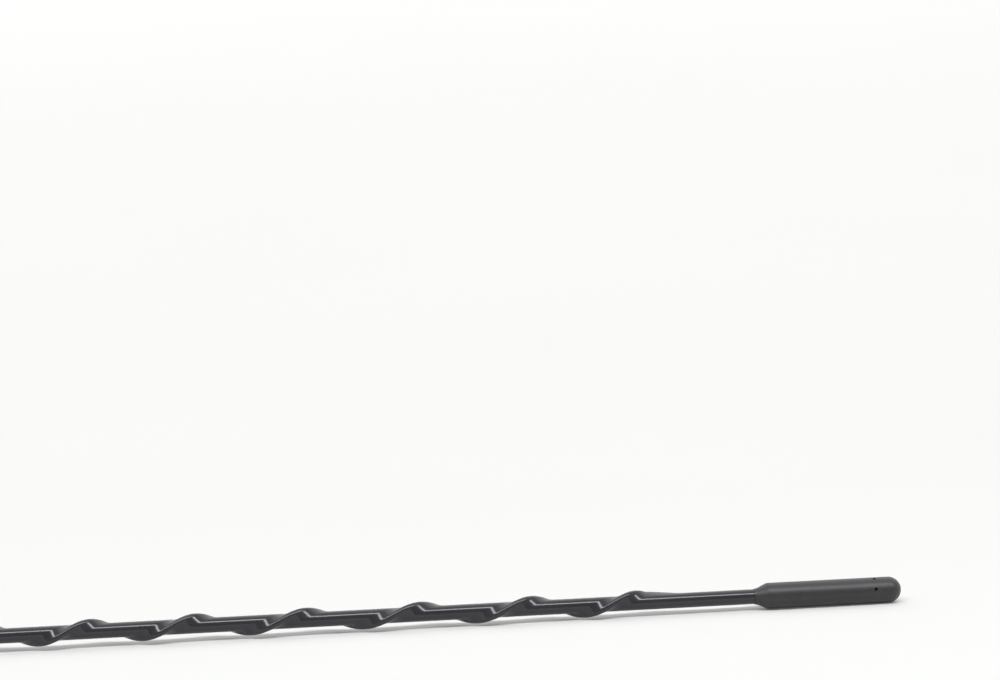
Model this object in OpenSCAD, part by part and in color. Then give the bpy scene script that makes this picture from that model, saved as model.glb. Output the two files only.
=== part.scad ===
// Car mast aerial: a glass fibre whip with a spiral of cord under its black shrink sleeve.
// The mast lies along X. The origin is the centre of the seat, where the fitting meets the car,
// +X runs to the tip, the threaded stud points along -X, and +Z is up as the mast lies on a table.

/* [Mast] */
// Length from the seat to the tip, without the stud
mast_length = 400; // [330:5:600]
// Diameter of the glass fibre core
core_d = 2.9; // [2.4:0.1:4]
// Distance from the tip back to the end of the core
core_end_margin = 6; // [4.5:0.5:9]
// Diameter of the copper wire wound on the core
wire_d = 0.3; // [0.2:0.05:0.4]
// Length of mast for one turn of the wire
wire_pitch = 14; // [10:1:40]

/* [Spiral and sleeve] */
// Wall of the shrink sleeve
sleeve_wall = 0.35; // [0.2:0.05:0.6]
// Diameter of the plastic cord that raises the spiral
cord_d = 1.45; // [0.8:0.05:2.4]
// Length of mast for one turn of the cord, which is wound left-handed
cord_pitch = 33; // [24:1:60]
// Share of a turn by which the winding runs ahead of an even spiral, and then behind it
cord_drift = 0.056; // [0:0.004:0.08]
// Length of mast for one whole swing of that drift
drift_length = 200; // [150:10:400]
// Length of the slope where the sleeve comes down past each end of the cord
ramp_length = 13.5; // [6:0.5:25]
// Plain neck between the foot and the lower slope
lower_neck = 6.5; // [2:0.5:40]
// Plain neck between the upper slope and the cap
upper_neck = 20; // [4:1:60]

/* [Tip cap] */
// Diameter of the cap
cap_d = 8; // [7:0.5:12]
// Length of the cap with its cone and its round end
cap_length = 46; // [30:1:70]
// Length of the cone that leads from the sleeve to the cap
cone_length = 4.3; // [3.6:0.1:8]
// Radius of the hollow at the thin end of the cone
cone_hollow = 3; // [1.5:0.25:4]
// Radius of the edge between the cone and the cylinder
cone_edge = 1.2; // [0.5:0.1:2]
// Length of sleeve held inside the cap
cap_grip = 10; // [6:1:20]
// Diameter of the marks left by the pins that held the core in the mould
pin_mark_d = 1; // [0.6:0.1:1.4]
// Distance of the pin marks from the tip
pin_mark_inset = 8.5; // [7:0.5:14]

/* [Foot] */
// Length of the moulded foot
foot_length = 38; // [34:1:60]
// Distance across the flats of the foot's grip
grip_flats = 11; // [10.5:0.5:16]
// Length of the six-sided grip
grip_length = 12; // [8:1:16]
// Diameter of the foot's thin end
foot_neck_d = 6.6; // [6.2:0.2:8]

/* [Base fitting] */
// Major diameter of the stud's thread
stud_d = 5; // [4:1:6]
// Length of the stud
stud_length = 9; // [6:1:14]
// Diameter of the flange that seats on the car
flange_d = 8.6; // [7.6:0.2:9.4]
// Thickness of the flange
flange_length = 1.5; // [1:0.25:3]
// Distance across the flats of the hexagon that keys the fitting in the foot
key_flats = 6; // [5.6:0.2:7]
// Length of the hexagon
key_length = 12.5; // [9:0.5:14]
// Outside diameter of the crimped barrel that holds the core
barrel_d = 5.3; // [5:0.1:5.8]
// Length of the barrel
barrel_length = 12; // [8:0.5:14]
// Depth of the hole for the core, from the end of the barrel
socket_depth = 18; // [12:0.5:20]

/* [Fit] */
// Clearance between pieces that are laid, pressed or moulded on each other
lay_gap = 0.04; // [0.02:0.01:0.06]

/* [Hidden] */
$fn = 48;

// Steps of the faceted strands for each turn, and the number of sides of their sections
wire_steps = 12;
wire_sides = 4;
cord_steps = 14;
cord_sides = 8;

// Layers of the mast, from the core outwards: each strand's corners lie far enough out for the
// straight stretch between two of its sections to stay clear of what is under it
core_r = core_d / 2;
wire_path_r = (core_r + lay_gap + wire_d / 2) / cos(180 / wire_steps);
wire_outer_r = wire_path_r + wire_d / 2;
sleeve_bore_r = (wire_outer_r + lay_gap) / cos(180 / cord_steps);
sleeve_r = sleeve_bore_r + sleeve_wall;
cord_r = cord_d / 2;
cord_path_r = sleeve_bore_r + cord_r;

// Stations along the mast
cap_start = mast_length - cap_length;
cap_r = cap_d / 2;
key_end = flange_length + key_length;
barrel_end = key_end + barrel_length;
core_start = barrel_end - socket_depth + lay_gap;
core_end = mast_length - core_end_margin;
sleeve_start = barrel_end + 0.5;
sleeve_end = cap_start + cap_grip;
wire_start = core_start + 1.5;
wire_end = sleeve_end - 1;
cord_start = foot_length + lower_neck + ramp_length;
cord_end = cap_start - upper_neck - ramp_length;

// The winding: the mast's station where its last crest points straight up, and where its drift is nil
last_crest = cord_end - 5.35;
drift_origin = cord_end - 81.9;
cord_runs = ceil((cord_end - cord_start) * cord_steps / cord_pitch);
// Radius of the ridge that is left in the sleeve where a slope ends
ramp_end_r = 0.5;
ramp_runs = 4;

// Foot: how far it stays back from the seat, its grip's end faces, chamfers and turned corners,
// and the round body, which narrows to the neck in a curve of a given power
foot_setback = 0.4;
grip_face_r = grip_flats / 2 - 0.25;
grip_chamfer = 0.9;
grip_corner_r = grip_flats / 2 + 0.7;
foot_swell_r = grip_flats / 2 - 0.3;
foot_taper_steps = 8;
foot_taper_power = 1.7;
foot_edge = 0.8;

// Wall that the cap keeps round the sleeve at its thin end
cap_lip = 0.15;

// Grooves of the base fitting: one in the hexagon that the foot's plastic fills, two rolled crimps
waist_d = barrel_d - 0.4;
key_groove = [flange_length + key_length / 2 - 0.75, flange_length + key_length / 2 + 0.75];
crimp_width = 1.5;
crimp_inset = barrel_length / 5;
stud_chamfer = 0.5;

// Pin marks: two from each half of the mould, at these angles from +Y towards +Z
pin_mark_angles = [105, 164, 285, 344];

// Direction across the mast at an angle that is counted from +Y towards +Z
function across(angle) = [0, cos(angle), sin(angle)];

// Angle of the cord round the mast at a station: it falls along the mast, so the spiral is left-handed
function cord_angle(x) =
    90 + 360 * ((last_crest - x) / cord_pitch + cord_drift * sin(360 * (x - drift_origin) / drift_length));

// How far down its slope the sleeve is at a station: 0 over the cord, 1 on the plain neck
function ramp_at(x) =
    x < cord_start ? min(1, (cord_start - x) / ramp_length) :
    x > cord_end ? min(1, (x - cord_end) / ramp_length) : 0;

// The sleeve's section is the skin stretched over two rounds: the mast, and the ridge beside it.
// ridge_r and ridge_out give the ridge's radius and its distance from the axis, for a skin that
// stands off by skin from the inner face.
function ridge_r(ramp, skin) = (cord_r + lay_gap) * (1 - ramp) + ramp_end_r * ramp + skin;
function ridge_out(ramp) =
    sleeve_bore_r + (cord_d + lay_gap) * (1 - ramp) - ridge_r(ramp, 0);

// Angle, at either round's centre, of the points where the straight flank touches both of them
function flank_angle(ramp, skin) =
    acos(min(1, (sleeve_bore_r + skin - ridge_r(ramp, skin)) / ridge_out(ramp)));

// Angle at the mast's axis of a point that lies at an angle round the ridge's centre
function seen_angle(angle, r, out) = atan2(r * sin(angle), out + r * cos(angle));

// Distance of the skin from the axis at an angle from the ridge, from 0 to 180
function skin_radius(angle, ramp, skin) =
    let (
        r = ridge_r(ramp, skin),
        out = ridge_out(ramp),
        flank = flank_angle(ramp, skin),
        touch = seen_angle(flank, r, out)
    )
    angle <= touch ? out * cos(angle) + sqrt(max(0, r * r - pow(out * sin(angle), 2))) :
    angle < flank ? (sleeve_bore_r + skin) / cos(flank - angle) :
    sleeve_bore_r + skin;

// Angles of the corners of a section, from the ridge all the way round
function section_angles(skin) =
    let (
        flank = flank_angle(0, skin),
        r = ridge_r(0, skin),
        out = ridge_out(0),
        touch = seen_angle(flank, r, out),
        side = [
            seen_angle(flank / 2, r, out),
            touch,
            touch + (flank - touch) / 3,
            touch + (flank - touch) * 2 / 3,
            flank,
        ],
        back_steps = 10
    )
    [
        0,
        each side,
        for (i = [1 : back_steps - 1]) flank + i * (360 - 2 * flank) / back_steps,
        for (i = [len(side) - 1 : -1 : 0]) 360 - side[i],
    ];

// One ring of the skin at a station
function skin_ring(x, skin) = [
    for (a = section_angles(skin))
        [x, 0, 0] + skin_radius(min(a, 360 - a), ramp_at(x), skin)
            * across(a + cord_angle(max(cord_start, min(cord_end, x)))),
];

// Stations of the sleeve's rings: its end in the foot, the lower slope, the spiral, the upper slope
// and its end in the cap
sleeve_stations = [
    sleeve_start,
    for (i = [ramp_runs : -1 : 1]) cord_start - i * ramp_length / ramp_runs,
    for (i = [0 : cord_runs]) cord_start + i * (cord_end - cord_start) / cord_runs,
    for (i = [1 : ramp_runs]) cord_end + i * ramp_length / ramp_runs,
    sleeve_end,
];

// Faces of a wall of rings with n corners each, whose first corner has the number first
function wall_faces(rings, n, first, inward) = [
    for (k = [0 : rings - 2], j = [0 : n - 1])
        let (a = first + k * n + j, b = first + k * n + (j + 1) % n)
        each inward ? [[a, b + n, b], [a, a + n, b + n]] : [[a, b, b + n], [a, b + n, a + n]],
];

// Faces of the flat ring between an outer and an inner ring of n corners each
function rim_faces(outer, inner, n, forward) = [
    for (j = [0 : n - 1])
        let (a = outer + j, b = outer + (j + 1) % n, c = inner + j, d = inner + (j + 1) % n)
        each forward ? [[a, b, d], [a, d, c]] : [[a, d, b], [a, c, d]],
];

// A closed solid swept through rings of equally many corners
module strand(rings) {
    n = len(rings[0]);
    last = (len(rings) - 1) * n;
    polyhedron(
        points = [for (ring = rings) each ring],
        faces = [
            each wall_faces(len(rings), n, 0, false),
            [for (j = [n - 1 : -1 : 0]) j],
            [for (j = [0 : n - 1]) last + j],
        ]
    );
}

// A hollow solid between outer rings and inner rings of equally many corners
module hose(outer, inner) {
    n = len(outer[0]);
    count = len(outer) * n;
    polyhedron(
        points = [for (ring = concat(outer, inner)) each ring],
        faces = [
            each wall_faces(len(outer), n, 0, false),
            each wall_faces(len(inner), n, count, true),
            each rim_faces(0, count, n, false),
            each rim_faces(count - n, 2 * count - n, n, true),
        ]
    );
}

// A round bar along the mast between two stations
module bar(from, to, r) {
    translate([from, 0, 0]) rotate([0, 90, 0]) cylinder(h = to - from, r = r);
}

// A six-sided bar along the mast, with flats that face up and down
module hex_bar(from, to, flats) {
    translate([from, 0, 0])
        rotate([0, 90, 0])
            rotate([0, 0, 30])
                cylinder(h = to - from, d = flats / cos(30), $fn = 6);
}

// Turns an outline of radius and station about the mast
module turned() {
    rotate([0, 90, 0]) rotate_extrude() children();
}

// Points of an arc in the plane of radius and station
function arc(centre, r, from, to, steps) = [
    for (i = [0 : steps])
        let (a = from + (to - from) * i / steps)
        centre + r * [cos(a), sin(a)],
];

// Outside of the base fitting above the stud, grown by a clearance on every side. Each section runs
// a little way into its wider neighbour.
module fitting_outside(grow) {
    crimp_starts = [key_end + crimp_inset, barrel_end - crimp_inset - crimp_width];
    bar(-grow, barrel_end + grow, waist_d / 2 + grow);
    bar(-grow, flange_length + grow, flange_d / 2 + grow);
    for (span = [[flange_length / 2, key_groove[0]], [key_groove[1], key_end]])
        hex_bar(span[0] - grow, span[1] + grow, key_flats + 2 * grow);
    for (span = [
        [key_end - 1, crimp_starts[0]],
        [crimp_starts[0] + crimp_width, crimp_starts[1]],
        [crimp_starts[1] + crimp_width, barrel_end],
    ])
        bar(span[0] - grow, span[1] + grow, barrel_d / 2 + grow);
}

// Turned brass fitting: stud, flange, hexagon and crimped barrel in one piece
module base_fitting() {
    color([0.78, 0.76, 0.7]) difference() {
        union() {
            turned() polygon([
                [0, flange_length / 2],
                [stud_d / 2, flange_length / 2],
                [stud_d / 2, stud_chamfer - stud_length],
                [stud_d / 2 - stud_chamfer, -stud_length],
                [0, -stud_length],
            ]);
            fitting_outside(0);
        }
        bar(core_start - lay_gap, barrel_end + 1, wire_outer_r + lay_gap);
    }
}

// Moulded foot: a six-sided grip that runs into a tapered neck, moulded round the fitting
module foot_grip() {
    neck_r = foot_neck_d / 2;
    taper_length = foot_length - foot_edge - grip_length;
    color([0.1, 0.1, 0.11]) difference() {
        union() {
            intersection() {
                hex_bar(foot_setback, grip_length, grip_flats);
                turned() polygon([
                    [0, foot_setback],
                    [grip_face_r, foot_setback],
                    [grip_corner_r, foot_setback + grip_chamfer],
                    [grip_corner_r, grip_length - grip_chamfer],
                    [grip_face_r, grip_length],
                    [0, grip_length],
                ]);
            }
            turned() polygon([
                [0, foot_setback + grip_chamfer],
                [foot_swell_r, foot_setback + grip_chamfer],
                for (i = [0 : foot_taper_steps])
                    let (s = i / foot_taper_steps)
                    [
                        neck_r + (foot_swell_r - neck_r) * pow(1 - s, foot_taper_power),
                        grip_length + s * taper_length,
                    ],
                each arc([neck_r - foot_edge, foot_length - foot_edge], foot_edge, 15, 90, 5),
                [0, foot_length],
            ]);
        }
        bar(foot_setback - 1, foot_setback + 0.5, flange_d / 2 + lay_gap);
        fitting_outside(lay_gap);
        bar(barrel_end, foot_length + 1, sleeve_r + lay_gap);
    }
}

// Glass fibre core from the fitting's socket to the cap
module core_rod() {
    color([0.85, 0.83, 0.7]) bar(core_start, core_end, core_r);
}

// Copper wire wound right-handed on the core, from the barrel to the sleeve's upper end
module radiator_wire() {
    turns = (wire_end - wire_start) / wire_pitch;
    runs = ceil(turns * wire_steps);
    lead = wire_pitch / (2 * PI * wire_path_r);
    color([0.8, 0.45, 0.25]) strand([
        for (i = [0 : runs])
            let (
                x = wire_start + i * (wire_end - wire_start) / runs,
                a = 360 * turns * i / runs,
                out = across(a),
                along = ([lead, 0, 0] + across(a + 90)) / sqrt(1 + lead * lead),
                beside = cross(along, out)
            )
            [
                for (j = [0 : wire_sides - 1])
                    let (b = 360 * j / wire_sides)
                    [x, 0, 0] + wire_path_r * out + wire_d / 2 * (cos(b) * out + sin(b) * beside),
            ],
    ]);
}

// Plastic cord wound left-handed over the wire
module spiral_cord() {
    color([0.2, 0.2, 0.2]) strand([
        for (i = [0 : cord_runs])
            let (
                x = cord_start + i * (cord_end - cord_start) / cord_runs,
                a = cord_angle(x)
            )
            [
                for (j = [0 : cord_sides - 1])
                    let (b = 360 * j / cord_sides)
                    [x, 0, 0] + cord_path_r * across(a) + cord_r * across(a + b),
            ],
    ]);
}

// Black sleeve shrunk over the core, the wire and the cord
module shrink_sleeve() {
    color([0.16, 0.16, 0.19]) hose(
        [for (x = sleeve_stations) skin_ring(x, sleeve_wall)],
        [for (x = sleeve_stations) skin_ring(x, 0)]
    );
}

// Outline of the cap's outside: thin lip, hollow, cone, rounded edge and cylinder
function cap_outline() =
    let (
        lip_r = sleeve_r + cap_lip,
        rise = cap_r - lip_r,
        bends = cone_hollow + cone_edge,
        slope = asin(bends / norm([cone_length, bends - rise])) - atan2(bends - rise, cone_length)
    )
    [
        [0, cap_start],
        each arc([lip_r + cone_hollow, cap_start], cone_hollow, 180, 180 - slope, 5),
        each arc([cap_r - cone_edge, cap_start + cone_length], cone_edge, -slope, 0, 4),
        [cap_r, mast_length - cap_r],
        [0, mast_length - cap_r],
    ];

// Moulded cap with its round end, bored for the sleeve and the core
module tip_cap() {
    color([0.28, 0.28, 0.29]) difference() {
        turned() union() {
            polygon(cap_outline());
            intersection() {
                translate([0, mast_length - cap_r]) circle(r = cap_r);
                translate([0, mast_length - cap_r - 0.5]) square([cap_r + 1, cap_r + 1]);
            }
        }
        bar(cap_start - 1, sleeve_end + lay_gap, sleeve_r + lay_gap);
        bar(sleeve_end, core_end + lay_gap, core_r + lay_gap);
        for (angle = pin_mark_angles)
            translate([mast_length - pin_mark_inset, 0, 0])
                rotate([angle - 90, 0, 0])
                    cylinder(h = cap_r + 1, d = pin_mark_d);
    }
}

base_fitting();
foot_grip();
core_rod();
radiator_wire();
spiral_cord();
shrink_sleeve();
tip_cap();
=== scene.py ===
import math

import bmesh
import bpy
from mathutils import Matrix, Vector


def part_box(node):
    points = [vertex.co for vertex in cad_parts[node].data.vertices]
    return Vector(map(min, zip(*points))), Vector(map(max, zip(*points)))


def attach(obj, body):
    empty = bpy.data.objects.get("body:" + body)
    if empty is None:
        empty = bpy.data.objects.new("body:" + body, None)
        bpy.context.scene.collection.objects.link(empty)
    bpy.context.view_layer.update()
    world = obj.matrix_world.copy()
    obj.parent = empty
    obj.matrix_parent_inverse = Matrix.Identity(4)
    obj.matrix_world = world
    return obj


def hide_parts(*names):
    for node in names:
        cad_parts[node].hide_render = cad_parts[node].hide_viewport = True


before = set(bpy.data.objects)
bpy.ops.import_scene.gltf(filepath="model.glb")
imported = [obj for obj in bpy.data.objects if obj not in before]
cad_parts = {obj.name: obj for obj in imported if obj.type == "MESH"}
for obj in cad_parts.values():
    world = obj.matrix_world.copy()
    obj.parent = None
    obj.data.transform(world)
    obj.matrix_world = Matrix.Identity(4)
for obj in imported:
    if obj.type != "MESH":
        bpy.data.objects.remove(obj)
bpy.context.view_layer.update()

MM = 0.001


def stations(node_name):
    """Where a node starts and ends along the mast."""
    low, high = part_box(node_name)
    return low[0], high[0]


# Stations along the mast, from the frame
STUD_END, BARREL_END = stations("base_fitting")
FOOT_START, FOOT_END = stations("foot_grip")
CORE_START, CORE_END = stations("core_rod")
CORD_START, CORD_END = stations("spiral_cord")
SLEEVE_START, SLEEVE_END = stations("shrink_sleeve")
CAP_START, TIP = stations("tip_cap")

# Layers of the mast, from the core outwards, as the construction works them out: its wire and its
# cord run in straight steps, so many to a turn, and the layer round each clears their corners
LAY_GAP = 0.04 * MM
CORE_R = 1.45 * MM
WIRE_D = 0.3 * MM
CORD_R = 0.725 * MM
SLEEVE_WALL = 0.35 * MM
WIRE_STEPS = 12
CORD_STEPS = 14
WIRE_OUTER_R = (CORE_R + LAY_GAP + WIRE_D / 2) / math.cos(math.pi / WIRE_STEPS) + WIRE_D / 2
BORE_R = (WIRE_OUTER_R + LAY_GAP) / math.cos(math.pi / CORD_STEPS)
SLEEVE_R = BORE_R + SLEEVE_WALL

# Winding of the cord: its pitch, and the share of a turn by which it drifts to and fro
CORD_PITCH = 33 * MM
CORD_DRIFT = 0.056
DRIFT_LENGTH = 200 * MM
LAST_CREST = CORD_END - 5.35 * MM
DRIFT_ORIGIN = CORD_END - 81.9 * MM

# Skin of the sleeve: the slopes past the cord's ends, how much rounder than the cord the ridge is,
# the radius of its crowned flanks, and the angle by which they lean
RAMP_LENGTH = 13.5 * MM
RAMP_END_R = 0.5 * MM
RAMP_BLEND = 0.2
RIDGE_FULLNESS = 0.15 * MM
FLANK_R = 11 * MM
FLANK_LEAN = math.radians(-3)
SLEEVE_STEPS = 660
SLEEVE_CORNERS = 80
CORNER_CROWDING = 0.55

# Cap: the cone between a hollow and a rounded bend, the lip round the sleeve, and the mesh's cells
CAP_R = 4 * MM
CAP_CONE = 4.3 * MM
CAP_HOLLOW = 3 * MM
CAP_EDGE = 1.2 * MM
CAP_LIP = 0.15 * MM
LIP_EDGE = 0.03 * MM
CAP_CORNERS = 126
CAP_CELL = 0.2 * MM

# Marks of the pins in the cap. Each takes the place of a square of cells, a number of them out from
# its middle each way. The ease is the share of the way from the rim out to the square at which a
# ring lies, and the wall is the depth of the ring that keeps the hole's sides straight.
PIN_MARK_X = TIP - 8.5 * MM
PIN_MARK_ANGLES = (105, 164, 285, 344)
PIN_MARK_R = 0.5 * MM
PIN_MARK_EDGE = 0.07 * MM
PIN_MARK_CELLS = 4
PIN_MARK_EASE = 0.55
PIN_MARK_WALL = 1 * MM

# Foot: the six-sided grip with its chamfers, the round body that narrows to the neck, and the
# flared mouth of the recess that takes the flange
GRIP_END = 12 * MM
GRIP_FLATS = 11 * MM
GRIP_EDGE = 0.5 * MM
GRIP_FACE_R = GRIP_FLATS / 2 - 0.25 * MM
GRIP_CORNER_R = GRIP_FLATS / 2 + 0.7 * MM
GRIP_CHAMFER = 0.9 * MM
GRIP_RIM = 0.1 * MM
CHAMFER_BLEND = 0.12 * MM
CHAMFER_ZONE = 1.2 * MM
CHAMFER_STEP = 0.1 * MM
FOOT_SWELL_R = GRIP_FLATS / 2 - 0.3 * MM
FOOT_SWELL_BLEND = 0.1 * MM
FOOT_NECK_R = 3.3 * MM
FOOT_TAPER_POWER = 1.7
FOOT_EDGE = 0.8 * MM
FOOT_CORNERS = 144
RECESS_FLARE = 0.08 * MM
RECESS_FLARE_DEPTH = 0.06 * MM

# Base fitting. The thread's crest and root are as wide as a metric thread has them.
STUD_R = 2.5 * MM
STUD_CHAMFER = 0.5 * MM
THREAD_PITCH = 0.8 * MM
THREAD_DEPTH = 0.46 * MM
THREAD_CREST = THREAD_PITCH / 8
THREAD_ROOT = THREAD_PITCH / 4
THREAD_STEP = 0.05 * MM
RELIEF_R = STUD_R - THREAD_DEPTH - 0.02 * MM
RELIEF_LENGTH = 0.9 * MM
RELIEF_SLOPE = 0.12 * MM
RELIEF_ROUND = 0.2 * MM
FLANGE_R = 4.3 * MM
FLANGE_LENGTH = 1.5 * MM
KEY_FLATS = 6 * MM
KEY_EDGE = 0.15 * MM
KEY_END = FLANGE_LENGTH + 12.5 * MM
KEY_GROOVE = 1.5 * MM
BARREL_R = 2.65 * MM
BARREL_EDGE = 0.15 * MM
CRIMP_WIDTH = 1.5 * MM
CRIMP_DEPTH = 0.2 * MM
TURNED_EDGE = 0.12 * MM
FITTING_CORNERS = 60

# Step that rounds a rim, chamfer at a bore's mouth, and angle from which an edge is shaded crisp
RIM_STEP = 0.03 * MM
BORE_EDGE = 0.05 * MM
CRISP_EDGE = math.radians(38)

# The photograph's frame, and where the mast lies in it
PHOTO_W = 1000
PHOTO_H = 680
FOCAL_PX = 4714
AIM_STATION = 275.2 * MM
AIM_ROW = 609.9
CAMERA_DISTANCE = 1.44
CAMERA_ELEVATION = math.radians(12)
CAMERA_YAW = math.radians(7.6)
CAMERA_ROLL = math.radians(-1.41)
SENSOR_WIDTH = 36

# The floor: where the grip rests on it, its colour, and its glow, which grows in the distance
GRIP_REST_X = 11 * MM
FLOOR_HALF = 6
FLOOR_LOW = (0.795, 0.797, 0.79)
FLOOR_HIGH = (0.805, 0.805, 0.8)
FLOOR_GLOW = 0.08
FAR_GLOW = 0.28
FAR_START = 0.2
FAR_END = 2.6

# The soft light all round, which is dimmer on the camera's side
WORLD_COLOUR = (1, 1, 0.99, 1)
WORLD_LEVEL = 0.42
WORLD_FRONT = 0.45
WORLD_FRONT_END = 0.1

# Rays that show the floor's glow, and the world at its full level
SEEN_RAYS = ("Is Camera Ray", "Is Glossy Ray", "Is Transmission Ray")


# Helpers for meshes


def spread(start, end, count):
    """Evenly spaced values from a start to an end, both included."""
    return [start + (end - start) * i / count for i in range(count + 1)]


def place(x, r, a):
    """The point at a station, a distance from the mast's axis and an angle from +Y towards +Z."""
    return x, r * math.cos(a), r * math.sin(a)


def join(one, other):
    """Faces between two closed loops of equally many point numbers."""
    n = len(one)
    return [(one[k], one[(k + 1) % n], other[(k + 1) % n], other[k]) for k in range(n)]


def fan(loop, middle):
    """Faces between a closed loop of point numbers and one point."""
    n = len(loop)
    return [(loop[k], loop[(k + 1) % n], middle) for k in range(n)]


def loft(loops):
    """Faces between loops of point numbers, each joined to the next."""
    return [face for one, other in zip(loops, loops[1:]) for face in join(one, other)]


def numbered(rings):
    """The loops of point numbers of rings of equally many points that follow each other."""
    n = len(rings[0])
    return [range(k * n, (k + 1) * n) for k in range(len(rings))]


def ring_round(x, radius, corners):
    """A ring round the mast. The radius is a number, or a function of the angle from +Y."""
    turns = spread(0, 2 * math.pi, corners)[:-1]
    return [place(x, radius(a) if callable(radius) else radius, a) for a in turns]


def turned(path, corners, looped=False):
    """Points and faces of a body about the mast, from (station, radius) pairs.

    It closes on the axis at both ends, or, where it is looped, on its own first ring.
    """
    rings = [ring_round(x, radius, corners) for x, radius in path]
    points = [point for ring in rings for point in ring]
    loops = numbered(rings)
    faces = loft(loops)
    if looped:
        return points, faces + join(loops[-1], loops[0])
    for end, loop in ((path[0][0], loops[0]), (path[-1][0], loops[-1])):
        points.append((end, 0, 0))
        faces += fan(loop, len(points) - 1)
    return points, faces


def arc(x, r, size, start, end, steps):
    """(station, radius) pairs of an arc. Its angles in degrees run from +X towards outwards."""
    turns = [math.radians(a) for a in spread(start, end, steps)]
    return [(x + size * math.cos(a), r + size * math.sin(a)) for a in turns]


def hexagon(flats, edge):
    """Radius of a six-sided bar with rounded edges and flats that face up and down."""
    half_side = math.pi / 6
    inner = flats / 2 - edge
    corner = inner / math.cos(half_side)
    reach = math.atan2(inner * math.tan(half_side), flats / 2)

    def radius(a):
        turn = (a - math.pi / 2 + half_side) % (2 * half_side) - half_side
        if abs(turn) <= reach:
            return flats / 2 / math.cos(turn)
        off = half_side - abs(turn)
        return corner * math.cos(off) + math.sqrt(max(0, edge ** 2 - (corner * math.sin(off)) ** 2))

    return radius


def soft_min(a, b, blend):
    """The smaller of two values, rounded over where they meet."""
    near = max(blend - abs(a - b), 0) / blend
    return min(a, b) - near * near * blend / 4


def soft_max(a, b, blend):
    """The larger of two values, rounded out where they meet."""
    return -soft_min(-a, -b, blend)


def add_piece(name, points, faces, node_name):
    """A piece that takes a node's place and has its material."""
    mesh = bpy.data.meshes.new(name)
    mesh.from_pydata(points, [], faces)
    made = bmesh.new()
    made.from_mesh(mesh)
    unused = [corner for corner in made.verts if not corner.link_faces]
    bmesh.ops.delete(made, geom=unused, context="VERTS")
    bmesh.ops.recalc_face_normals(made, faces=made.faces)
    for face in made.faces:
        face.smooth = True
    for edge in made.edges:
        edge.smooth = edge.calc_face_angle(0) < CRISP_EDGE
    made.to_mesh(mesh)
    made.free()
    piece = bpy.data.objects.new(name, mesh)
    bpy.context.scene.collection.objects.link(piece)
    dress(piece, node_name)
    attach(piece, "root")
    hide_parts(node_name)


# Camera


def make_camera():
    """A camera on the near side of the mast, aimed so that the mast lies as in the photograph."""
    data = bpy.data.cameras.new("camera")
    data.sensor_fit = "HORIZONTAL"
    data.sensor_width = SENSOR_WIDTH
    data.lens = FOCAL_PX * SENSOR_WIDTH / PHOTO_W
    data.clip_start = 0.01
    data.clip_end = 100
    camera = bpy.data.objects.new("camera", data)
    bpy.context.scene.collection.objects.link(camera)
    aim = Vector((AIM_STATION, 0, 0))
    back = Vector((
        -math.sin(CAMERA_YAW) * math.cos(CAMERA_ELEVATION),
        -math.cos(CAMERA_YAW) * math.cos(CAMERA_ELEVATION),
        math.sin(CAMERA_ELEVATION),
    ))
    sight = -back
    level = sight.cross(Vector((0, 0, 1))).normalized()
    rise = level.cross(sight)
    right = level * math.cos(CAMERA_ROLL) + rise * math.sin(CAMERA_ROLL)
    upright = rise * math.cos(CAMERA_ROLL) - level * math.sin(CAMERA_ROLL)
    lift = math.atan((AIM_ROW - PHOTO_H / 2) / FOCAL_PX)
    ahead = sight * math.cos(lift) + upright * math.sin(lift)
    top = upright * math.cos(lift) - sight * math.sin(lift)
    turn = Matrix((right, top, -ahead)).transposed().to_4x4()
    camera.matrix_world = Matrix.Translation(aim + back * CAMERA_DISTANCE) @ turn
    bpy.context.scene.camera = camera


make_camera()


# Materials


def grey(value, tint=(1, 1, 1)):
    """A grey, or one with a faint tint."""
    return tuple(value * t for t in tint)


def material(name, colour, roughness, metallic=0.0, specular=0.5, tint=(1, 1, 1), sheen=0.0):
    """A principled material and its shader node. The tint is its reflections' colour."""
    made = bpy.data.materials.new(name)
    made.use_nodes = True
    shader = made.node_tree.nodes["Principled BSDF"]
    shader.inputs["Base Color"].default_value = (*colour, 1)
    shader.inputs["Roughness"].default_value = roughness
    shader.inputs["Metallic"].default_value = metallic
    shader.inputs["Specular IOR Level"].default_value = specular
    shader.inputs["Specular Tint"].default_value = (*tint, 1)
    shader.inputs["Sheen Weight"].default_value = sheen
    shader.inputs["Sheen Roughness"].default_value = 0.4
    return made, shader


def noise(made, scale, detail, factors=(1, 1, 1)):
    """A noise node in the object's own metres. A factor under 1 draws it out along its axis."""
    nodes = made.node_tree.nodes
    links = made.node_tree.links
    where = nodes.new("ShaderNodeTexCoord")
    mapping = nodes.new("ShaderNodeMapping")
    mapping.inputs["Scale"].default_value = factors
    texture = nodes.new("ShaderNodeTexNoise")
    texture.inputs["Scale"].default_value = scale
    texture.inputs["Detail"].default_value = detail
    links.new(where.outputs["Object"], mapping.inputs["Vector"])
    links.new(mapping.outputs["Vector"], texture.inputs["Vector"])
    return texture


def vary(made, shader, socket, texture, low, high):
    """Lets a texture vary a socket of the shader between two colours."""
    node = made.node_tree.nodes.new("ShaderNodeValToRGB")
    for stop, position, colour in zip(node.color_ramp.elements, (0.3, 0.7), (low, high)):
        stop.position = position
        stop.color = (*colour, 1)
    made.node_tree.links.new(texture.outputs["Fac"], node.inputs["Fac"])
    made.node_tree.links.new(node.outputs["Color"], shader.inputs[socket])


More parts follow.
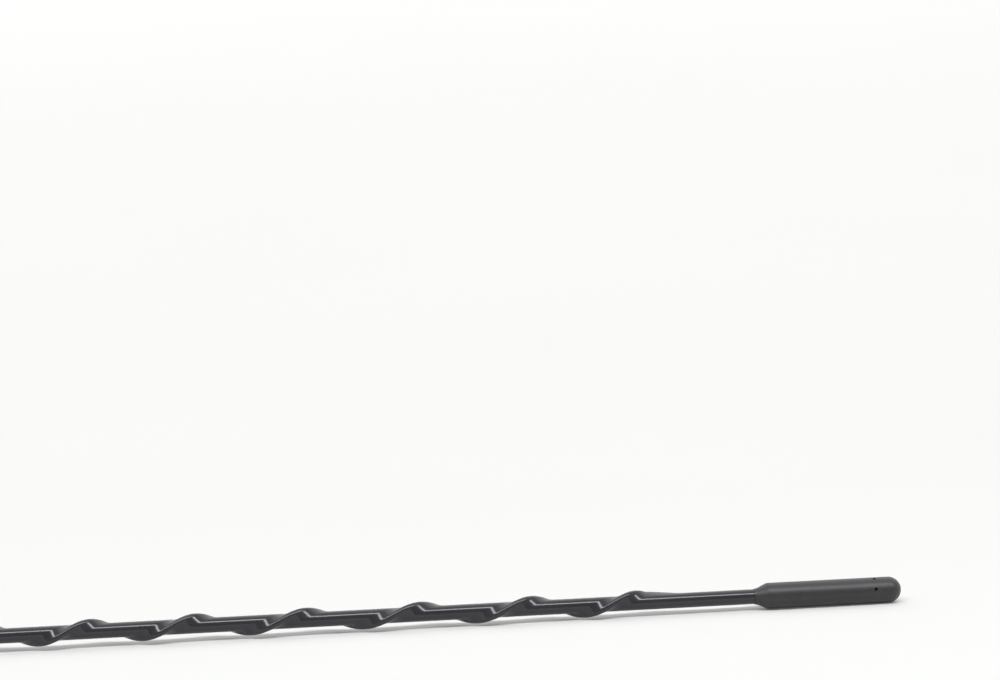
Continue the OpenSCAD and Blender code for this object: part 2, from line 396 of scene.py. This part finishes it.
def bump(made, shader, texture, strength, depth):
    """Lays a bump over those that the shader has."""
    links = made.node_tree.links
    normal = shader.inputs["Normal"]
    node = made.node_tree.nodes.new("ShaderNodeBump")
    node.inputs["Strength"].default_value = strength
    node.inputs["Distance"].default_value = depth
    links.new(texture.outputs["Fac"], node.inputs["Height"])
    if normal.links:
        links.new(normal.links[0].from_socket, node.inputs["Normal"])
    links.new(node.outputs["Normal"], normal)


def moulded_grain(made, shader, grain, waves):
    """The fine spark-eroded grain of moulded plastic and faint waves, each with its strength."""
    bump(made, shader, noise(made, 5200, 3), grain, 0.04 * MM)
    bump(made, shader, noise(made, 1500, 2), waves, 0.04 * MM)


def sleeve_material():
    """Semi-gloss black shrink sleeve, faintly blue, with the fine orange peel of shrinking."""
    made, shader = material(
        "sleeve_black", grey(0.012), 0.15, specular=0.6, tint=(0.95, 0.95, 1), sheen=0.1)
    patches = noise(made, 160, 3, (0.35, 1, 1))
    vary(made, shader, "Base Color", patches, (0.0125, 0.0115, 0.015), (0.0175, 0.0165, 0.021))
    scuffs = noise(made, 420, 5, (0.25, 1, 1))
    vary(made, shader, "Roughness", scuffs, grey(0.12), grey(0.18))
    bump(made, shader, noise(made, 420, 2), 0.35, 0.05 * MM)
    bump(made, shader, noise(made, 3200, 2), 0.3, 0.006 * MM)
    return made


def cap_material():
    """Moulded charcoal plastic, faintly violet."""
    made, shader = material(
        "cap_charcoal", grey(0.015), 0.42, specular=0.62, tint=(0.91, 0.91, 1), sheen=0.1)
    warm = (1.12, 1, 0.94)
    vary(made, shader, "Base Color", noise(made, 220, 4), grey(0.015, warm), grey(0.023, warm))
    moulded_grain(made, shader, 0.7, 0.3)
    return made


def foot_material():
    """Moulded black plastic, matt."""
    made, shader = material("foot_plastic", grey(0.03), 0.5, specular=0.45)
    vary(made, shader, "Base Color", noise(made, 260, 4), grey(0.024), grey(0.034))
    moulded_grain(made, shader, 0.6, 0.25)
    return made


def fitting_material():
    """Nickel-plated brass with fine turning marks."""
    made, shader = material("fitting_metal", (0.62, 0.6, 0.54), 0.28, metallic=1.0)
    vary(made, shader, "Base Color", noise(made, 300, 4), (0.55, 0.53, 0.47), (0.68, 0.66, 0.61))
    turning_marks = noise(made, 900, 3, (9, 0.6, 0.6))
    bump(made, shader, turning_marks, 0.3, 0.006 * MM)
    return made


def core_material():
    """Pultruded glass fibre: pale resin with streaks along the rod."""
    made, shader = material("core_glass_fibre", (0.55, 0.52, 0.38), 0.4)
    streaks = noise(made, 2400, 3, (0.04, 1, 1))
    vary(made, shader, "Base Color", streaks, (0.46, 0.43, 0.3), (0.68, 0.65, 0.5))
    bump(made, shader, streaks, 0.3, 0.01 * MM)
    return made


def wire_material():
    """Drawn copper, slightly dulled."""
    made, shader = material("wire_copper", (0.75, 0.33, 0.17), 0.32, metallic=1.0)
    vary(made, shader, "Base Color", noise(made, 700, 3), (0.62, 0.25, 0.12), (0.82, 0.39, 0.21))
    return made


def cord_material():
    """Smooth black plastic cord."""
    made, shader = material("cord_plastic", grey(0.03), 0.35)
    vary(made, shader, "Base Color", noise(made, 500, 3), grey(0.024), grey(0.04))
    return made


MATERIALS = {
    "shrink_sleeve": sleeve_material(),
    "tip_cap": cap_material(),
    "foot_grip": foot_material(),
    "base_fitting": fitting_material(),
    "core_rod": core_material(),
    "radiator_wire": wire_material(),
    "spiral_cord": cord_material(),
}


def dress(thing, node_name):
    """Gives an object the material of a node."""
    thing.data.materials.clear()
    thing.data.materials.append(MATERIALS[node_name])


for node_name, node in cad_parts.items():
    dress(node, node_name)


# Shrink sleeve


def cord_angle(x):
    """Angle of the cord round the mast, from +Y towards +Z."""
    drift = CORD_DRIFT * math.sin(2 * math.pi * (x - DRIFT_ORIGIN) / DRIFT_LENGTH)
    return math.pi / 2 + 2 * math.pi * ((LAST_CREST - x) / CORD_PITCH + drift)


def ramp_at(x):
    """0 over the cord, rising to 1 where the sleeve has come down to the plain neck."""
    past = max(CORD_START - x, x - CORD_END) / RAMP_LENGTH
    return soft_min(soft_max(past, 0, RAMP_BLEND), 1, RAMP_BLEND)


def skin_section(down, skin):
    """The skin's section: two rounds, over the mast and the ridge, and flat arcs tangent to both.

    down is how far it has come down a slope, from 0 to 1, and skin its distance out from the bore.
    Returns the distance from the mast's axis as a function of the angle from the ridge's crest.
    """
    mast_r = BORE_R + skin
    ridge_r = (CORD_R + LAY_GAP + RIDGE_FULLNESS) * (1 - down) + RAMP_END_R * down + skin
    ridge_out = BORE_R + (2 * CORD_R + LAY_GAP) * (1 - down) + skin - ridge_r
    flank_r = FLANK_R + skin
    from_mast = flank_r - mast_r
    from_ridge = flank_r - ridge_r
    cosine = (from_mast ** 2 + ridge_out ** 2 - from_ridge ** 2) / (2 * from_mast * ridge_out)
    flank = math.pi - math.acos(max(-1, min(1, cosine)))
    lean_x = (ridge_out + from_mast * math.cos(flank)) / from_ridge
    lean_y = from_mast * math.sin(flank) / from_ridge
    touch = math.atan2(ridge_r * lean_y, ridge_out + ridge_r * lean_x)

    def radius(angle):
        if angle <= touch:
            across = ridge_out * math.sin(angle)
            return ridge_out * math.cos(angle) + math.sqrt(max(0, ridge_r ** 2 - across ** 2))
        if angle < flank:
            off = flank - angle
            across = from_mast * math.sin(off)
            return math.sqrt(flank_r ** 2 - across ** 2) - from_mast * math.cos(off)
        return mast_r

    return radius


def skin_ring(x, skin, lean=0):
    """One ring of the skin at a station, with corners packed closer near the ridge.

    The lean turns both flanks a little round the mast and leaves the crest in its place.
    """
    radius = skin_section(ramp_at(x), skin)
    crest = cord_angle(min(max(x, CORD_START), CORD_END))
    ring = []
    for turn in spread(0, 2 * math.pi, SLEEVE_CORNERS)[:-1]:
        angle = turn - CORNER_CROWDING * math.sin(turn)
        r = radius(min(angle, 2 * math.pi - angle))
        ring.append(place(x, r, crest + angle - lean * (1 - math.cos(angle))))
    return ring


def make_sleeve():
    """The sleeve's outside, and its bore with a quarter as many rings."""
    along = spread(SLEEVE_START, SLEEVE_END, SLEEVE_STEPS)
    outer = [skin_ring(x, SLEEVE_WALL, FLANK_LEAN) for x in along]
    inner = [skin_ring(x, 0) for x in along[::4]]
    points = [point for ring in outer + inner for point in ring]
    loops = numbered(outer + inner)
    outside = loops[:len(outer)]
    inside = loops[len(outer):]
    ends = join(outside[0], inside[0]) + join(outside[-1], inside[-1])
    faces = loft(outside) + loft(inside) + ends
    add_piece("sleeve_skin", points, faces, "shrink_sleeve")


make_sleeve()


# Tip cap


def cap_path():
    """The cap's section, from the end of the core round the lip and the outside to the tip.

    Returns it with the number of the ring at which the squares of the pin marks start.
    """
    bore = SLEEVE_R + LAY_GAP
    core = CORE_R + LAY_GAP
    lip = SLEEVE_R + CAP_LIP
    cone_end = CAP_START + CAP_CONE
    bends = CAP_HOLLOW + CAP_EDGE
    across = bends - (CAP_R - lip)
    slope = math.degrees(math.asin(bends / math.hypot(CAP_CONE, across)) - math.atan2(across, CAP_CONE))
    path = [(CORE_END + LAY_GAP, core), (SLEEVE_END + LAY_GAP, core), (SLEEVE_END + LAY_GAP, bore)]
    path += [(CAP_START + BORE_EDGE, bore), (CAP_START, bore + LIP_EDGE), (CAP_START, lip - LIP_EDGE)]
    path += arc(CAP_START, lip + CAP_HOLLOW, CAP_HOLLOW, -90, -90 + slope, 8)
    path += arc(cone_end, CAP_R - CAP_EDGE, CAP_EDGE, 90 + slope, 90, 10)
    half = (PIN_MARK_CELLS + 1) * CAP_CELL
    cells = spread(PIN_MARK_X - half, PIN_MARK_X + half, 2 * PIN_MARK_CELLS + 2)
    path += [(x, CAP_R) for x in spread(cone_end, cells[0], 14)[1:-1]]
    first = len(path) + 1
    path += [(x, CAP_R) for x in cells]
    round_start = TIP - CAP_R
    path.append(((cells[-1] + round_start) / 2, CAP_R))
    path += arc(round_start, 0, CAP_R, 90, 0.5, 30)
    return path, first


def mark_point(middle, turn, reach, height):
    """The point at a turn and a distance from a pin mark's axis, and a height over the mast's."""
    across = reach * math.sin(turn)
    up = math.sqrt(max(0, height ** 2 - across ** 2))
    y = up * math.cos(middle) - across * math.sin(middle)
    z = up * math.sin(middle) + across * math.cos(middle)
    return PIN_MARK_X + reach * math.cos(turn), y, z


def cut_mark(points, faces, first, degrees):
    """Cuts a round pin mark, down to the core, in place of a square of the cylinder's cells.

    Adds the mark's points, and returns the faces with it.
    """
    side = 2 * PIN_MARK_CELLS
    middle = math.radians(degrees)
    column = round(degrees / 360 * CAP_CORNERS) - PIN_MARK_CELLS

    def corner(i, j):
        return (first + i) * CAP_CORNERS + (column + j) % CAP_CORNERS

    square = {corner(i, j) for i in range(side + 1) for j in range(side + 1)}
    border = [corner(0, j) for j in range(side)]
    border += [corner(i, side) for i in range(side)]
    border += [corner(side, side - j) for j in range(side)]
    border += [corner(side - i, 0) for i in range(side)]
    turns = []
    reaches = []
    for number in border:
        x, y, z = points[number]
        off = (math.atan2(z, y) - middle + math.pi) % (2 * math.pi) - math.pi
        turns.append(math.atan2(off * CAP_R, x - PIN_MARK_X))
        reaches.append(math.hypot(off * CAP_R, x - PIN_MARK_X))

    rim_r = PIN_MARK_R + PIN_MARK_EDGE
    floor_r = CORE_R + 2 * LAY_GAP
    rings = [([rim_r + (reach - rim_r) * PIN_MARK_EASE for reach in reaches], CAP_R)]
    hole = arc(rim_r, CAP_R - PIN_MARK_EDGE, PIN_MARK_EDGE, 90, 180, 3)
    hole += [(PIN_MARK_R, CAP_R - PIN_MARK_WALL), (PIN_MARK_R, floor_r)]
    rings += [([reach] * len(border), height) for reach, height in hole]
    loops = [border]
    for ring_reaches, height in rings:
        loops.append(range(len(points), len(points) + len(border)))
        points += [mark_point(middle, turn, reach, height) for turn, reach in zip(turns, ring_reaches)]
    points.append(place(PIN_MARK_X, floor_r, middle))
    kept = [face for face in faces if not square.issuperset(face)]
    return kept + loft(loops) + fan(loops[-1], len(points) - 1)


def make_cap():
    """The cap, with its pin marks."""
    path, first = cap_path()
    points, faces = turned(path, CAP_CORNERS)
    for degrees in PIN_MARK_ANGLES:
        faces = cut_mark(points, faces, first, degrees)
    add_piece("cap_moulding", points, faces, "tip_cap")


make_cap()


# Foot


def foot_taper(x):
    """Radius of the foot's round body, which narrows in a curve from the grip to the neck."""
    share = (x - GRIP_END) / (FOOT_END - FOOT_EDGE - GRIP_END)
    left = 1 - min(1, max(0, share))
    return FOOT_NECK_R + (FOOT_SWELL_R - FOOT_NECK_R) * left ** FOOT_TAPER_POWER


def foot_section(x):
    """Radius of the foot at a station, as a function of the angle."""
    bar = hexagon(GRIP_FLATS, GRIP_EDGE)
    rise = (GRIP_CORNER_R - GRIP_FACE_R) / GRIP_CHAMFER
    cone = GRIP_FACE_R + rise * min(x - FOOT_START, GRIP_END - x)
    body = foot_taper(x)

    def radius(a):
        if x >= GRIP_END:
            return body
        grip = soft_min(bar(a), cone, CHAMFER_BLEND)
        return soft_max(grip, body, FOOT_SWELL_BLEND) if x > FOOT_START + GRIP_CHAMFER else grip

    return radius


def foot_outside():
    """The outside of the foot, from the rim of its lower face to its upper end."""
    face = foot_section(FOOT_START)
    neck_start = FOOT_END - FOOT_EDGE
    lower_end = FOOT_START + CHAMFER_ZONE
    upper_start = GRIP_END - CHAMFER_ZONE
    fine_steps = round(CHAMFER_ZONE / CHAMFER_STEP)
    along = spread(FOOT_START, lower_end, fine_steps)[1:]
    along += spread(lower_end, upper_start, 10)[1:-1]
    along += spread(upper_start, GRIP_END, fine_steps)
    along += spread(GRIP_END + CHAMFER_STEP, neck_start, 40)[:-1]
    path = [(FOOT_START, lambda a: face(a) - GRIP_RIM)]
    path += [(FOOT_START + RIM_STEP, lambda a: face(a) - RIM_STEP)]
    path += [(x, foot_section(x)) for x in along]
    return path + arc(neck_start, FOOT_NECK_R - FOOT_EDGE, FOOT_EDGE, 86, 4, 9)


def foot_inside():
    """The foot's bore for the sleeve and the fitting, from its upper end to its lower face."""
    bore = SLEEVE_R + LAY_GAP
    barrel = BARREL_R + LAY_GAP
    barrel_end = BARREL_END + LAY_GAP
    key = hexagon(KEY_FLATS + 2 * LAY_GAP, KEY_EDGE + LAY_GAP)
    key_end = KEY_END + LAY_GAP
    recess = FLANGE_R + LAY_GAP
    recess_end = FLANGE_LENGTH + LAY_GAP
    path = [(FOOT_END, bore + BORE_EDGE), (FOOT_END - BORE_EDGE, bore)]
    path += [(barrel_end, bore), (barrel_end, barrel)]
    path += [(key_end, barrel), (key_end, key)]
    path += [(recess_end, key), (recess_end, recess)]
    return path + [(FOOT_START + RECESS_FLARE_DEPTH, recess), (FOOT_START, recess + RECESS_FLARE)]


def make_foot():
    """The foot round the fitting."""
    points, faces = turned(foot_outside() + foot_inside(), FOOT_CORNERS, looped=True)
    add_piece("foot_moulding", points, faces, "foot_grip")


make_foot()


# Base fitting


def thread(x):
    """Radius of the stud at a station: a right-handed metric thread, cut back by its end chamfer."""
    chamfer = STUD_R - STUD_CHAMFER + (x - STUD_END)
    flank_length = (THREAD_PITCH - THREAD_CREST - THREAD_ROOT) / 2

    def radius(a):
        share = (x / THREAD_PITCH - a / (2 * math.pi)) % 1
        off = abs(share - 0.5) * THREAD_PITCH
        down = (off - THREAD_CREST / 2) / flank_length
        return min(STUD_R - THREAD_DEPTH * min(1, max(0, down)), chamfer)

    return radius


def stud_path():
    """The stud, from its end to the flange, with the relief behind its thread."""
    end_r = STUD_R - STUD_CHAMFER
    thread_start = STUD_END + 2 * THREAD_STEP
    thread_steps = round((-RELIEF_LENGTH - thread_start) / THREAD_STEP)
    path = [(STUD_END, end_r - TURNED_EDGE), (STUD_END + RIM_STEP, end_r - RIM_STEP)]
    path += [(x, thread(x)) for x in spread(thread_start, -RELIEF_LENGTH, thread_steps)]
    path.append((-RELIEF_LENGTH + RELIEF_SLOPE, RELIEF_R))
    return path + arc(-RELIEF_ROUND, RELIEF_R + RELIEF_ROUND, RELIEF_ROUND, -90, 0, 2)


def flange_path():
    """The rounded edges of the flange."""
    edge_r = FLANGE_R - TURNED_EDGE
    path = arc(TURNED_EDGE, edge_r, TURNED_EDGE, 180, 90, 4)
    return path + arc(FLANGE_LENGTH - TURNED_EDGE, edge_r, TURNED_EDGE, 90, 0, 4)


def key_path():
    """The hexagon that keeps the foot from turning, with the groove that keeps it from sliding."""
    key = hexagon(KEY_FLATS, KEY_EDGE)
    waist = BARREL_R - CRIMP_DEPTH
    middle = (FLANGE_LENGTH + KEY_END) / 2
    low = middle - KEY_GROOVE / 2
    high = middle + KEY_GROOVE / 2
    return [(FLANGE_LENGTH, key), (low, key), (low, waist), (high, waist), (high, key), (KEY_END, key)]


def barrel_path():
    """The barrel with its two crimps, and its bore down to the end of the core."""
    fifth = (BARREL_END - KEY_END) / 5
    path = [(KEY_END, BARREL_R)]
    for start in (KEY_END + fifth, BARREL_END - fifth - CRIMP_WIDTH):
        for share in spread(0, 1, 8):
            dip = CRIMP_DEPTH * (1 - math.cos(2 * math.pi * share)) / 2
            path.append((start + CRIMP_WIDTH * share, BARREL_R - dip))
    path += arc(BARREL_END - BARREL_EDGE, BARREL_R - BARREL_EDGE, BARREL_EDGE, 90, 0, 4)
    bore = WIRE_OUTER_R + LAY_GAP
    path += [(BARREL_END, bore + BORE_EDGE), (BARREL_END - BORE_EDGE, bore)]
    return path + [(CORE_START - LAY_GAP, bore)]


def make_fitting():
    """The fitting, turned from one bar."""
    path = stud_path() + flange_path() + key_path() + barrel_path()
    points, faces = turned(path, FITTING_CORNERS)
    add_piece("fitting_turning", points, faces, "base_fitting")


make_fitting()


# Stage and light


def calculate(tree, operation, *values):
    """The result of a sum on two values, each an output of a node or a number."""
    node = tree.nodes.new("ShaderNodeMath")
    node.operation = operation
    for socket, value in zip(node.inputs, values):
        if isinstance(value, bpy.types.NodeSocket):
            tree.links.new(value, socket)
        else:
            socket.default_value = value
    return node.outputs["Value"]


def graded(tree, value, start, end, low, high):
    """Goes evenly from low to high while a value goes from start to end."""
    node = tree.nodes.new("ShaderNodeMapRange")
    node.inputs["From Min"].default_value = start
    node.inputs["From Max"].default_value = end
    node.inputs["To Min"].default_value = low
    node.inputs["To Max"].default_value = high
    tree.links.new(value, node.inputs["Value"])
    return node.outputs["Result"]


def coordinate(tree, space, axis):
    """A shaded point's place along one axis."""
    where = tree.nodes.new("ShaderNodeTexCoord")
    axes = tree.nodes.new("ShaderNodeSeparateXYZ")
    tree.links.new(where.outputs[space], axes.inputs["Vector"])
    return axes.outputs[axis]


def ray(tree, *kinds):
    """1 for a ray of any of the kinds, and 0 for the others."""
    path = tree.nodes.new("ShaderNodeLightPath")
    total = path.outputs[kinds[0]]
    for kind in kinds[1:]:
        total = calculate(tree, "MAXIMUM", total, path.outputs[kind])
    return total


def floor_material():
    """White, with a faint glow for the camera and for reflections, and more for the camera far off."""
    made, shader = material("floor_white", grey(0.8), 0.9, specular=0.1)
    vary(made, shader, "Base Color", noise(made, 3, 2), FLOOR_LOW, FLOOR_HIGH)
    tree = made.node_tree
    near_glow = calculate(tree, "MULTIPLY", ray(tree, *SEEN_RAYS), FLOOR_GLOW)
    distance = graded(tree, coordinate(tree, "Object", "Y"), FAR_START, FAR_END, 0, FAR_GLOW)
    far_glow = calculate(tree, "MULTIPLY", distance, ray(tree, "Is Camera Ray"))
    tree.links.new(calculate(tree, "ADD", near_glow, far_glow), shader.inputs["Emission Strength"])
    shader.inputs["Emission Color"].default_value = (1, 1, 1, 1)
    return made


def make_floor():
    """A pale floor that touches the foot's lower flat and the cap."""
    foot_z = -GRIP_FLATS / 2
    slope = math.atan2(-CAP_R - foot_z, TIP - CAP_R - GRIP_REST_X)
    half = FLOOR_HALF
    mesh = bpy.data.meshes.new("floor")
    corners = [(-half, -half, 0), (half, -half, 0), (half, half, 0), (-half, half, 0)]
    mesh.from_pydata(corners, [], [(0, 1, 2, 3)])
    floor = bpy.data.objects.new("floor", mesh)
    bpy.context.scene.collection.objects.link(floor)
    floor.matrix_world = Matrix.Translation((GRIP_REST_X, 0, foot_z)) @ Matrix.Rotation(-slope, 4, "Y")
    floor.data.materials.append(floor_material())


def make_world():
    """White where the camera sees it. Its soft light on the mast is dimmer from the camera's side."""
    world = bpy.data.worlds.new("studio")
    bpy.context.scene.world = world
    world.use_nodes = True
    tree = world.node_tree
    background = tree.nodes["Background"]
    background.inputs["Color"].default_value = WORLD_COLOUR
    level = graded(tree, ray(tree, *SEEN_RAYS), 0, 1, WORLD_LEVEL, 1)
    side = graded(tree, coordinate(tree, "Generated", "Y"), -1, WORLD_FRONT_END, WORLD_FRONT, 1)
    light = calculate(tree, "MULTIPLY", level, side)
    strength = calculate(tree, "MAXIMUM", light, ray(tree, "Is Camera Ray"))
    tree.links.new(strength, background.inputs["Strength"])


def make_lamp(name, elevation, distance, long, high, radiance):
    """A long lamp that lies along the mast and faces it.

    Its elevation in degrees runs from the camera's side over the top to the far side.
    """
    data = bpy.data.lights.new(name, "AREA")
    data.shape = "RECTANGLE"
    data.size = long
    data.size_y = high
    data.energy = radiance * math.pi * long * high
    lamp = bpy.data.objects.new(name, data)
    bpy.context.scene.collection.objects.link(lamp)
    up = math.radians(elevation)
    towards = Vector((0, -math.cos(up), math.sin(up)))
    across = Vector((1, 0, 0))
    turn = Matrix((across, towards.cross(across), towards)).transposed().to_4x4()
    middle = Vector((AIM_STATION, 0, 0)) + towards * distance
    lamp.matrix_world = Matrix.Translation(middle) @ turn


make_floor()
make_world()
make_lamp("key", elevation=60, distance=4, long=7, high=0.85, radiance=8.8)
make_lamp("back", elevation=128, distance=4, long=7, high=4, radiance=0.5)

bpy.context.scene.view_settings.view_transform = "Standard"
